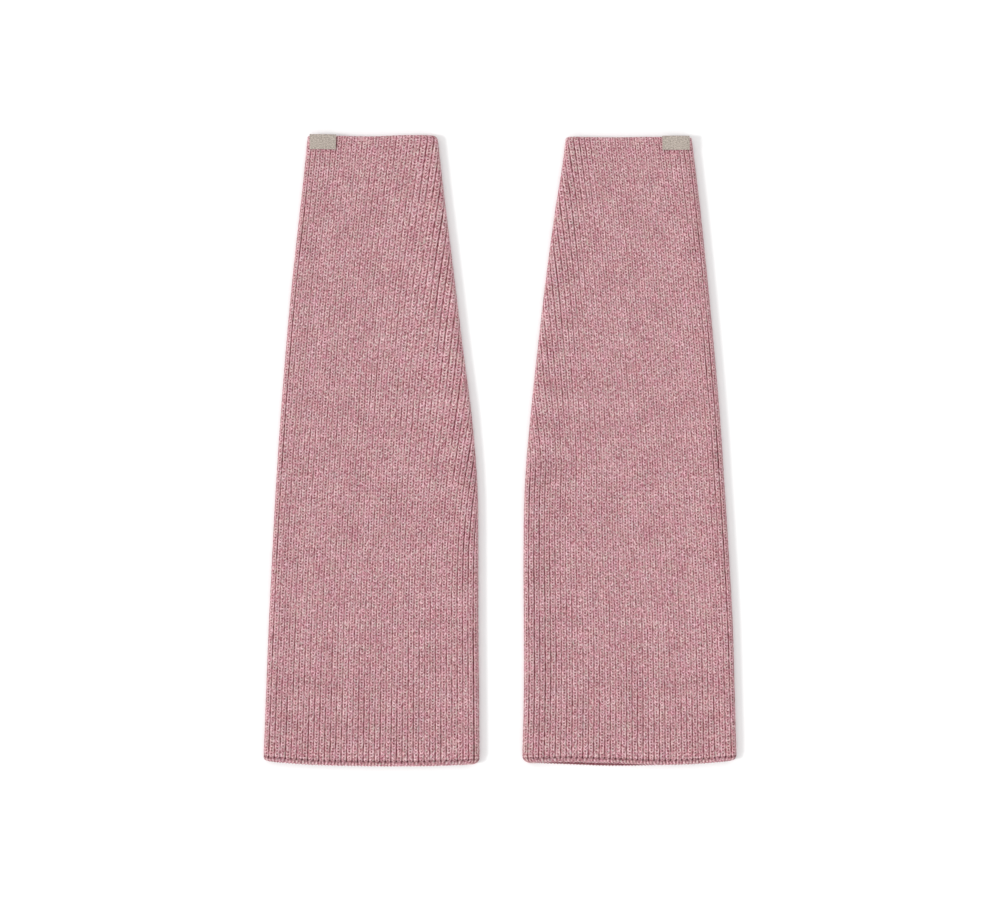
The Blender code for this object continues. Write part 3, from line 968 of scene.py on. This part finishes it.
def join_uneven(mesh, low, high, under=False):
    """Faces between two rows of corners where one may have more columns at its end."""
    shared = min(len(low), len(high))
    mesh.skin(low[: shared - 1], low[1:shared], high[1:shared], high[: shared - 1], under=under)
    for i in range(shared - 1, len(low) - 1):
        mesh.skin(low[i], low[i + 1], high[-1], under=under)
    for i in range(shared - 1, len(high) - 1):
        mesh.skin(low[-1], high[i + 1], high[i], under=under)


def fan_strip(mesh, fine, low, high, under):
    """Faces between a fine column of corners and one step of the coarse column beside it."""
    half = len(fine) // 2
    lower, upper = fine[: half + 1], fine[half:]
    mesh.skin(lower[:-1], np.full(len(lower) - 1, low), lower[1:], under=under)
    mesh.skin(fine[half], low, high, under=under)
    mesh.skin(upper[:-1], np.full(len(upper) - 1, high), upper[1:], under=under)


def knit_band(knitting, first, last, mesh):
    """One band of the tube, all round it, between two courses."""
    rows = np.arange(first * ROWS_IN_COURSE, last * ROWS_IN_COURSE + 1)
    points, counts, ribs, courses, depth = knitting.front_rows(rows)
    there = np.arange(len(ribs)) < counts[:, None]
    ribs_there = np.broadcast_to(ribs, there.shape)[there]
    front = np.full(there.shape, -1)
    front[there] = mesh.add(
        points[there], ribs_there, courses[there], depth[there] / RIB_DEPTH, CARVED
    )
    seam_ribs = ribs[counts - 1] + 1.0 / len(WALE)
    seam = mesh.add(knitting.seam_points(rows), seam_ribs, courses[:, 0], 0.0, CARVED)
    front = [row[:count] for row, count in zip(front, counts)]
    for i in range(len(front) - 1):
        join_uneven(mesh, front[i], front[i + 1])
        mesh.skin(front[i][-1], seam[i], seam[i + 1], front[i + 1][-1])
    every = COURSES_IN_UNDER_ROW * ROWS_IN_COURSE
    spare = FOLD_SPARE * FOLD_RADIUS_BACK / knitting.leg.pitch(0.0)
    fold = mesh.corners(mesh.vertex_of[[row[0] for row in front]], spare, courses[:, 0])
    seam = mesh.corners(mesh.vertex_of[seam], -seam_ribs, courses[:, 0])
    points, counts, ribs, courses, depth = knitting.back_rows(rows[::every])
    under = []
    for i, count in enumerate(counts):
        cavity = depth[i, :count] / RIB_DEPTH
        under.append(mesh.add(points[i, :count], -ribs[:count], courses[i, :count], cavity))
    for i in range(len(under) - 1):
        span = slice(i * every, (i + 1) * every + 1)
        join_uneven(mesh, under[i], under[i + 1], under=True)
        fan_strip(mesh, fold[span], under[i][0], under[i + 1][0], under=True)
        fan_strip(mesh, seam[span], under[i][-1], under[i + 1][-1], under=False)


def ring_keys(leg, ring, height):
    """Places of a ring's columns on the way round: 0 to 1 over the front, 1 to 2 underneath."""
    across, height, back = ring_across(leg, ring, height)
    share = across / leg.width(height)
    return np.where(back, 2.0 - share, share)


def inside_wall(knitting, hem_end, top_end, mesh):
    """The plain inner wall, between the last rows of the hem and of the top edge."""
    # All of the inner wall gets IN_TUBE as its cavity, so it is painted in shade
    leg = knitting.leg
    around = np.arange(2 * INSIDE_COLUMNS) / INSIDE_COLUMNS
    share = np.where(around > 1.0, 2.0 - around, around)
    ends = []
    for (ring, (points, _)), roll in ((hem_end, HEM_ROLL), (top_end, TOP_ROLL)):
        height = roll.inside[-1].height * MM
        keys = ring_keys(leg, ring, height)
        course = knitting.course_at(height)
        ends.append((mesh.add(points, keys * RIB_COUNT, course, IN_TUBE), keys))
    rows = []
    for height in INSIDE_HEIGHTS:
        heights = np.full(around.shape, height * MM)
        points = leg.inside(share * leg.width(heights), heights, around > 1.0)
        course = knitting.course_at(height * MM)
        rows.append(mesh.add(points, around * RIB_COUNT, course, IN_TUBE))
    mesh.zip_rows(rows[0], around, *ends[0])
    for low, high in zip(rows, rows[1:]):
        mesh.join_rows(high, low)
    mesh.zip_rows(*ends[1], rows[-1], around)


class Nodes:
    """Adds nodes to a tree, each with what feeds it."""

    def __init__(self, tree):
        self.tree = tree

    def feed(self, socket, value):
        if isinstance(value, bpy.types.NodeSocket):
            self.tree.links.new(value, socket)
        else:
            socket.default_value = value

    def add(self, kind, feeds, **settings):
        node = self.tree.nodes.new(kind)
        for name, value in settings.items():
            setattr(node, name, value)
        for socket, value in feeds.items():
            self.feed(node.inputs[socket], value)
        return node.outputs

    def math(self, operation, *values):
        return self.add("ShaderNodeMath", dict(enumerate(values)), operation=operation)[0]

    def times(self, value, factor, plus=0.0):
        return self.math("MULTIPLY_ADD", value, factor, plus)

    def vary(self, value, noise, strength):
        """A value made higher and lower by a noise round one half."""
        return self.times(self.math("SUBTRACT", noise, 0.5), strength, value)

    def from_half(self, share):
        """How far a share lies from one half, from 0 there to 1 at both ends."""
        return self.math("ABSOLUTE", self.times(share, 2.0, -1.0))

    def half_round(self, distance):
        """Height of a half round by the distance from its middle, for a radius of 1."""
        left = self.math("SUBTRACT", 1.0, self.math("POWER", distance, 2.0))
        return self.math("SQRT", self.math("MAXIMUM", left, 0.0))

    def wave(self, value, times=1.0):
        return self.math("SINE", self.times(value, 2.0 * math.pi * times))

    def join(self, x, y, z=0.0):
        return self.add("ShaderNodeCombineXYZ", {0: x, 1: y, 2: z})[0]

    def split(self, vector):
        return self.add("ShaderNodeSeparateXYZ", {0: vector})

    def flecks(self, x, y, fleck):
        place = self.join(self.times(x, fleck.across), self.times(y, fleck.up), fleck.layer)
        feeds = {"Vector": place, "Scale": 1.0, "Detail": fleck.detail}
        return self.add("ShaderNodeTexNoise", feeds)["Fac"]

    def single(self, x, y):
        """An unlike value for each whole place."""
        return self.add("ShaderNodeTexWhiteNoise", {"Vector": self.join(x, y)}, noise_dimensions="2D")[0]

    def rise(self, value, low, high, top=1.0, kind="SMOOTHSTEP"):
        """Rise of a value from 0 to the top between two places."""
        feeds = {0: value, 1: low, 2: high, 4: top}
        return self.add("ShaderNodeMapRange", feeds, interpolation_type=kind)[0]

    def mix(self, share, a, b, blend="MIX"):
        feeds = {0: share, 6: a, 7: b}
        return self.add("ShaderNodeMix", feeds, data_type="RGBA", blend_type=blend)[2]


def new_group(name, inputs, outputs):
    """An empty node group with named sockets, its nodes, and its input and output ends."""
    tree = bpy.data.node_groups.new(name, "ShaderNodeTree")
    for direction, sockets in (("INPUT", inputs), ("OUTPUT", outputs)):
        for socket, kind in sockets.items():
            tree.interface.new_socket(socket, in_out=direction, socket_type="NodeSocket" + kind)
    nodes = Nodes(tree)
    given = nodes.add("NodeGroupInput", {})
    result = tree.nodes.new("NodeGroupOutput").inputs
    return tree, nodes, given, result


def heather_yarn_group():
    """Colour of heather yarn, by its place in legs across and courses up."""
    inputs = {"Place": "Vector", "Body": "Color", "Pale": "Color", "Deep": "Color", "Grey": "Color"}
    tree, n, given, result = new_group("heather_yarn", inputs, {"Colour": "Color"})
    x, y, _ = n.split(given["Place"])
    leg, course = n.math("FLOOR", x), n.math("FLOOR", y)
    slants = n.math("ADD", x, y), n.math("SUBTRACT", x, y)
    tone = 0.5
    for place, fleck in (
        ((x, course), YARN_RUN),
        ((x, y), YARN_PATCH),
        (slants, YARN_CLUMP),
        ((x, y), YARN_FIBRE),
    ):
        tone = n.vary(tone, n.flecks(*place, fleck), fleck.strength)
    tone = n.vary(tone, n.single(leg, course), STITCH_TONE)
    colour = n.mix(n.rise(tone, 0.0, 0.5, kind="LINEAR"), given["Deep"], given["Body"])
    colour = n.mix(n.rise(tone, 0.5, 1.0, kind="LINEAR"), colour, given["Pale"])
    undyed = n.rise(n.flecks(x, y, UNDYED), UNDYED_FROM, UNDYED_FULL, UNDYED.strength)
    colour = n.mix(undyed, colour, given["Grey"])
    drifts = [1.0, 1.0, 1.0]
    for fleck in (BLUER, REDDER):
        noise = n.flecks(x, y, fleck)
        drifts = [n.vary(drift, noise, strength) for drift, strength in zip(drifts, fleck.strength)]
    feeds = {0: colour, 1: n.join(*drifts)}
    n.feed(result["Colour"], n.add("ShaderNodeVectorMath", feeds, operation="MULTIPLY")[0])
    return tree


def stitch_form_group():
    """Stitches by ribs across and courses up: yarn heights, plies, and painted shade in the hollows."""
    outputs = {"Stitch": "Float", "Ply": "Float", "Hollow": "Float"}
    tree, n, given, result = new_group("stitch_form", {"Place": "Vector"}, outputs)
    x, y, _ = n.split(given["Place"])
    up = n.math("FRACT", y)
    from_middle = n.from_half(n.math("FRACT", x))
    from_yarn = n.from_half(up)
    leg, arch = n.half_round(n.from_half(from_middle)), n.half_round(from_yarn)
    n.feed(result["Stitch"], n.times(leg, arch))
    level = n.math("FRACT", n.times(from_middle, LEAN_IN_COURSES, y))
    eye = n.rise(n.from_half(level), *EYE)
    # Painted shade in the grooves, down the middle of a wale with its open eyes, and between courses
    hollow = 0.0
    for place, shade in (
        (from_middle, GROOVE_SHADE),
        (from_middle, MIDDLE_SHADE),
        (from_yarn, COURSE_SHADE),
    ):
        strength = n.times(eye, shade.eye, shade.strength)
        hollow = n.times(n.rise(place, shade.start, shade.full), strength, hollow)
    n.feed(result["Hollow"], n.math("MINIMUM", hollow, 1.0))
    twist = n.math("ADD", n.times(up, 2.0), n.times(from_middle, PLY_TWIST))
    n.feed(result["Ply"], n.times(n.wave(twist), 0.5, 0.5))
    return tree


def new_material(name, cloth):
    """A cloth material, its nodes, its shader's sockets, and its place in its UV map."""
    material = bpy.data.materials.new(name)
    material.use_nodes = True
    shader = material.node_tree.nodes["Principled BSDF"].inputs
    shader["Roughness"].default_value = cloth.roughness
    shader["Specular IOR Level"].default_value = CLOTH_SPECULAR
    shader["Sheen Weight"].default_value = cloth.sheen
    shader["Sheen Roughness"].default_value = SHEEN_ROUGHNESS
    shader["Sheen Tint"].default_value = cloth.sheen_tint
    nodes = Nodes(material.node_tree)
    return material, nodes, shader, nodes.add("ShaderNodeUVMap", {}, uv_map=UV_NAME)[0]


def finish_cloth(nodes, shader, cloth, colour, height):
    """Feeds a cloth's colour and relief to its shader."""
    nodes.feed(shader["Base Color"], colour)
    feeds = {"Strength": cloth.relief, "Distance": cloth.relief_depth, "Height": height}
    nodes.feed(shader["Normal"], nodes.add("ShaderNodeBump", feeds)[0])


def knit_material(colours):
    """Rib knit in heather wool: fleck colours, plies, fibres, and painted shade in grooves and gaps."""
    material, n, shader, place = new_material(KNIT_MATERIAL, KNIT_CLOTH)
    ribs, courses, _ = n.split(place)
    cavity = n.add("ShaderNodeAttribute", {}, attribute_name=CAVITY_NAME)["Fac"]
    carved = n.add("ShaderNodeAttribute", {}, attribute_name=CARVED_NAME)["Fac"]
    yarns = ("body", "pale", "deep", "grey")
    feeds = {name.capitalize(): (*getattr(colours, name), 1.0) for name in yarns}
    feeds["Place"] = n.join(n.times(ribs, LEGS_IN_RIB), courses)
    yarn = n.add("ShaderNodeGroup", feeds, node_tree=heather_yarn_group())["Colour"]
    form = n.add("ShaderNodeGroup", {"Place": place}, node_tree=stitch_form_group())
    # Painted shade: the yarn darkened by the hollow colour, mixed in by the shade masks below
    painted_shade_colour = n.mix(1.0, yarn, (*colours.hollow, 1.0), blend="MULTIPLY")
    gap = n.single(n.math("FLOOR", n.times(ribs, LEGS_IN_RIB, 0.5)), n.math("FLOOR", courses))
    loose = n.times(n.math("ADD", gap, LEAST_GAP), n.rise(courses, *HEM_GAPS))
    shade = n.times(form["Hollow"], loose)
    # Painted shade in the grooves and in the tube, by the cavity attribute
    for part in PAINTED_CAVITY_SHADES:
        shade = n.times(n.rise(cavity, part.start, part.full), part.strength, shade)
    height = n.times(form["Stitch"], n.math("SUBTRACT", 1.0, carved))
    height = n.times(form["Ply"], PLY_RELIEF, height)
    height = n.times(n.flecks(ribs, courses, FUZZ), FUZZ.strength, height)
    colour = n.mix(n.math("MINIMUM", shade, 1.0), yarn, painted_shade_colour)
    finish_cloth(n, shader, KNIT_CLOTH, colour, height)
    return material


def label_material(colours):
    """Fine woven strip: warp and weft threads, a little slubbed."""
    material, n, shader, place = new_material(LABEL_MATERIAL, LABEL_CLOTH)
    x, y, _ = n.split(place)
    weave = n.times(n.times(n.wave(x, WARP_PER_MM), n.wave(y, WEFT_PER_MM)), 0.5, 0.5)
    thread = n.flecks(x, y, THREAD)
    tone = n.vary(0.5, n.flecks(x, y, SLUB), SLUB.strength)
    tone = n.vary(n.vary(tone, thread, THREAD.strength), weave, WEAVE_TONE)
    light = (*[min(channel * LABEL_LIGHT, 1.0) for channel in colours.label], 1.0)
    dark = (*[channel * LABEL_DARK for channel in colours.label], 1.0)
    colour = n.mix(n.rise(tone, *LABEL_TONES), dark, light)
    finish_cloth(n, shader, LABEL_CLOTH, colour, n.times(thread, THREAD_RELIEF, weave))
    return material


def material_named(name, make):
    """The material of that name, made once."""
    return bpy.data.materials.get(name) or make(bpy.context.scene.leg_warmer_colours)


def knittings():
    """The two leg warmers with their stitches."""
    scene = bpy.context.scene
    return [Knitting(LegWarmer(name), scene.leg_warmer_knit, scene.leg_warmer_hem) for name in HANGS]


def finish_piece(mesh, name):
    piece = mesh.build(name, material_named(KNIT_MATERIAL, knit_material))
    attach(piece, "root")
    return piece


def share_normals(pieces):
    """One normal for each point that pieces have in common, so that no line shows between them."""
    places, normals = [], []
    for piece in pieces:
        for gathered, values, name in (
            (places, piece.data.vertices, "co"),
            (normals, piece.data.vertex_normals, "vector"),
        ):
            flat = np.zeros(len(values) * 3, np.float32)
            values.foreach_get(name, flat)
            gathered.append(flat.reshape(-1, 3))
    rounded = np.round(np.concatenate(places) / SAME_PLACE).astype(np.int64)
    _, place, count = np.unique(rounded, axis=0, return_inverse=True, return_counts=True)
    summed = np.zeros((len(count), 3))
    np.add.at(summed, place, np.concatenate(normals))
    shared = np.where(count[place][:, None] > 1, summed[place], 0.0)
    ends = np.cumsum([len(points) for points in places])
    for piece, values in zip(pieces, np.split(shared, ends[:-1])):
        size = np.maximum(np.linalg.norm(values, axis=1, keepdims=True), NEARLY_ZERO)
        piece.data.normals_split_custom_set_from_vertices((values / size).tolist())


class LEGWARMER_OT_bands(Operator):
    """Knit the three bands of each tube, all round it, stitch by stitch"""

    bl_idname = "leg_warmer.bands"
    bl_label = "Knit the Tubes"

    def execute(self, context):
        for knitting in knittings():
            for band, first, last in zip(BAND_NAMES, BAND_ENDS, BAND_ENDS[1:]):
                mesh = ClothMesh(knitting.leg)
                knit_band(knitting, first, last, mesh)
                if last == COURSE_COUNT:
                    roll_end(knitting, TOP_ROLL, mesh)
                finish_piece(mesh, f"{knitting.leg.name}_knit_{band}")
        return {"FINISHED"}


class LEGWARMER_OT_hems(Operator):
    """Roll the hem of each tube, with its slanted stitches, and knit the inside wall"""

    bl_idname = "leg_warmer.hems"
    bl_label = "Roll the Hems"

    def execute(self, context):
        for knitting in knittings():
            name = knitting.leg.name
            hem = ClothMesh(knitting.leg)
            hem_end = roll_end(knitting, HEM_ROLL, hem)
            finish_piece(hem, name + "_hem")
            top_end = roll_end(knitting, TOP_ROLL, ClothMesh(knitting.leg))
            inside = ClothMesh(knitting.leg)
            inside_wall(knitting, hem_end, top_end, inside)
            finish_piece(inside, name + "_inside")
            parts = [f"knit_{band}" for band in BAND_NAMES] + ["hem", "inside"]
            share_normals([bpy.data.objects[f"{name}_{part}"] for part in parts])
        return {"FINISHED"}


class LEGWARMER_OT_sheets(Operator):
    """Hide the solids that the bands replace; the cloth's girth up each band is worked out, but not used
    """

    bl_idname = "leg_warmer.sheets"
    bl_label = "Declare the Cloth"

    def execute(self, context):
        for knitting in knittings():
            leg = knitting.leg
            for band, first, last in zip(BAND_NAMES, BAND_ENDS, BAND_ENDS[1:]):
                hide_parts(leg.name + "_tube")
                heights = knitting.course_height(np.linspace(first, last, CUT_STATIONS))
                girths = 2.0 * leg.width(heights) + 2.0 * FOLD_TAKE_UP
        return {"FINISHED"}


class LEGWARMER_OT_labels(Operator):
    """Fold a bare woven label over each top edge at the outer corner"""

    bl_idname = "leg_warmer.labels"
    bl_label = "Fold the Labels"

    def execute(self, context):
        settings = context.scene.leg_warmer_label
        for knitting in knittings():
            leg = knitting.leg
            bpy.ops.object.select_all(action="DESELECT")
            bpy.ops.mesh.primitive_grid_add(
                x_subdivisions=LABEL_COLUMNS, y_subdivisions=LABEL_ROWS, size=1.0, calc_uvs=False
            )
            label = context.object
            label.name = label.data.name = leg.name + "_woven_label"
            self.lay(leg, label)
            solidify = label.modifiers.new("thickness", "SOLIDIFY")
            solidify.thickness = settings.thickness
            solidify.offset = 1.0
            bpy.ops.object.modifier_apply(modifier=solidify.name)
            bpy.ops.object.shade_smooth_by_angle(angle=LABEL_SMOOTH_ANGLE)
            label.data.materials.append(material_named(LABEL_MATERIAL, label_material))
            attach(label, "root")
            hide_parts(leg.name + "_label")
        return {"FINISHED"}

    def lay(self, leg, label):
        """Moves the flat grid's points onto the front and over the top edge."""
        outer, inner, drop = (value * MM for value in leg.hang)
        data = label.data
        flat = np.zeros(len(data.vertices) * 3)
        data.vertices.foreach_get("co", flat)
        column, row = (flat.reshape(-1, 3)[:, i] + 0.5 for i in (0, 1))
        column = 1.0 - column if leg.side > 0.0 else column
        step = row * LABEL_SECTION[-1].step
        along = read_table(LABEL_SECTION, "along", step) * drop
        lift = read_table(LABEL_SECTION, "lift", step) * MM
        height = LENGTH - np.maximum(along, 0.0)
        from_middle = outer - column * (outer - inner)
        across = leg.fold("outer", height) - from_middle
        level = np.maximum(across, LABEL_LEVEL_FROM)
        not_back = np.full(level.shape, False)
        points, _ = leg.outside(level, height, not_back)
        z = points[:, 2] + SEAT_GAP + lift
        edge = leg.place(across, np.full(level.shape, LENGTH), z, not_back)[:, 1]
        over = SEAT_GAP * ease((LABEL_BEND_FROM - along) / LABEL_BEND_FROM)
        laid = np.stack((leg.side * from_middle, edge - along + over, z), axis=-1)
        data.vertices.foreach_set("co", laid.ravel())
        layer = data.uv_layers.new(name=UV_NAME)
        loops = np.zeros(len(data.loops), np.int32)
        data.loops.foreach_get("vertex_index", loops)
        places = np.stack((column * (outer - inner), along), axis=-1) / MM
        layer.uv.foreach_set("vector", places[loops].ravel())
        data.update()


class LEGWARMER_OT_stage(Operator):
    """Lay the pale floor, and set the lights and the camera"""

    bl_idname = "leg_warmer.stage"
    bl_label = "Set the Stage"

    def execute(self, context):
        settings = context.scene.leg_warmer_stage
        scene = context.scene
        bpy.ops.object.select_all(action="DESELECT")
        bpy.ops.mesh.primitive_plane_add(size=FLOOR_SIZE, location=(0.0, 0.0, CAD_LOW[2] - FLOOR_GAP))
        floor = context.object
        floor.name = floor.data.name = "floor"
        floor.data.materials.append(self.floor_material(settings))
        light = bpy.data.lights.new("key", "SUN")
        light.energy = settings.key
        light.angle = settings.key_spread
        key = bpy.data.objects.new("key", light)
        key.rotation_euler = (0.0, settings.key_height - math.pi / 2.0, settings.key_turn)
        scene.collection.objects.link(key)
        world = bpy.data.worlds.new("studio")
        world.use_nodes = True
        world.node_tree.nodes["Background"].inputs["Color"].default_value = (1.0, 1.0, 1.0, 1.0)
        world.node_tree.nodes["Background"].inputs["Strength"].default_value = settings.fill
        scene.world = world
        scene.view_settings.view_transform = "Standard"
        camera_data = bpy.data.cameras.new("camera")
        camera_data.lens = LENS
        camera_data.sensor_width = SENSOR
        camera_data.clip_start = CLIP_START
        camera = bpy.data.objects.new("camera", camera_data)
        camera.location = (*AIM, AIM_HEIGHT + FRAME_WIDTH * LENS / SENSOR)
        scene.collection.objects.link(camera)
        scene.camera = camera
        return {"FINISHED"}

    def floor_material(self, settings):
        material = bpy.data.materials.new("pale_floor")
        material.use_nodes = True
        shader = material.node_tree.nodes["Principled BSDF"].inputs
        shader["Base Color"].default_value = (*settings.floor, 1.0)
        shader["Roughness"].default_value = 1.0
        shader["Specular IOR Level"].default_value = 0.0
        return material


class LEGWARMER_PT_panel(Panel):
    """Sidebar panel with each step of making the pair"""

    bl_idname = "LEGWARMER_PT_panel"
    bl_label = "Leg Warmers"
    bl_space_type = "VIEW_3D"
    bl_region_type = "UI"
    bl_category = "Leg Warmers"

    def draw(self, context):
        column = self.layout.column(align=True)
        for operator in OPERATORS:
            column.operator(operator.bl_idname)
        for name in SETTINGS:
            box = self.layout.box()
            settings = getattr(context.scene, name)
            for value in settings.__annotations__:
                box.prop(settings, value)


OPERATORS = (
    LEGWARMER_OT_bands,
    LEGWARMER_OT_hems,
    LEGWARMER_OT_sheets,
    LEGWARMER_OT_labels,
    LEGWARMER_OT_stage,
)
SETTINGS = {
    "leg_warmer_knit": KnitSettings,
    "leg_warmer_hem": HemSettings,
    "leg_warmer_label": LabelSettings,
    "leg_warmer_colours": ColourSettings,
    "leg_warmer_stage": StageSettings,
}


def register():
    for group in SETTINGS.values():
        bpy.utils.register_class(group)
    for operator in (*OPERATORS, LEGWARMER_PT_panel):
        bpy.utils.register_class(operator)
    for name, group in SETTINGS.items():
        setattr(bpy.types.Scene, name, PointerProperty(type=group))


def unregister():
    for name in SETTINGS:
        delattr(bpy.types.Scene, name)
    for kind in (LEGWARMER_PT_panel, *reversed(OPERATORS), *reversed(SETTINGS.values())):
        bpy.utils.unregister_class(kind)


def main():
    register()
    bpy.ops.leg_warmer.bands()
    bpy.ops.leg_warmer.hems()
    bpy.ops.leg_warmer.sheets()
    bpy.ops.leg_warmer.labels()
    bpy.ops.leg_warmer.stage()


if __name__ == "__main__":
    main()
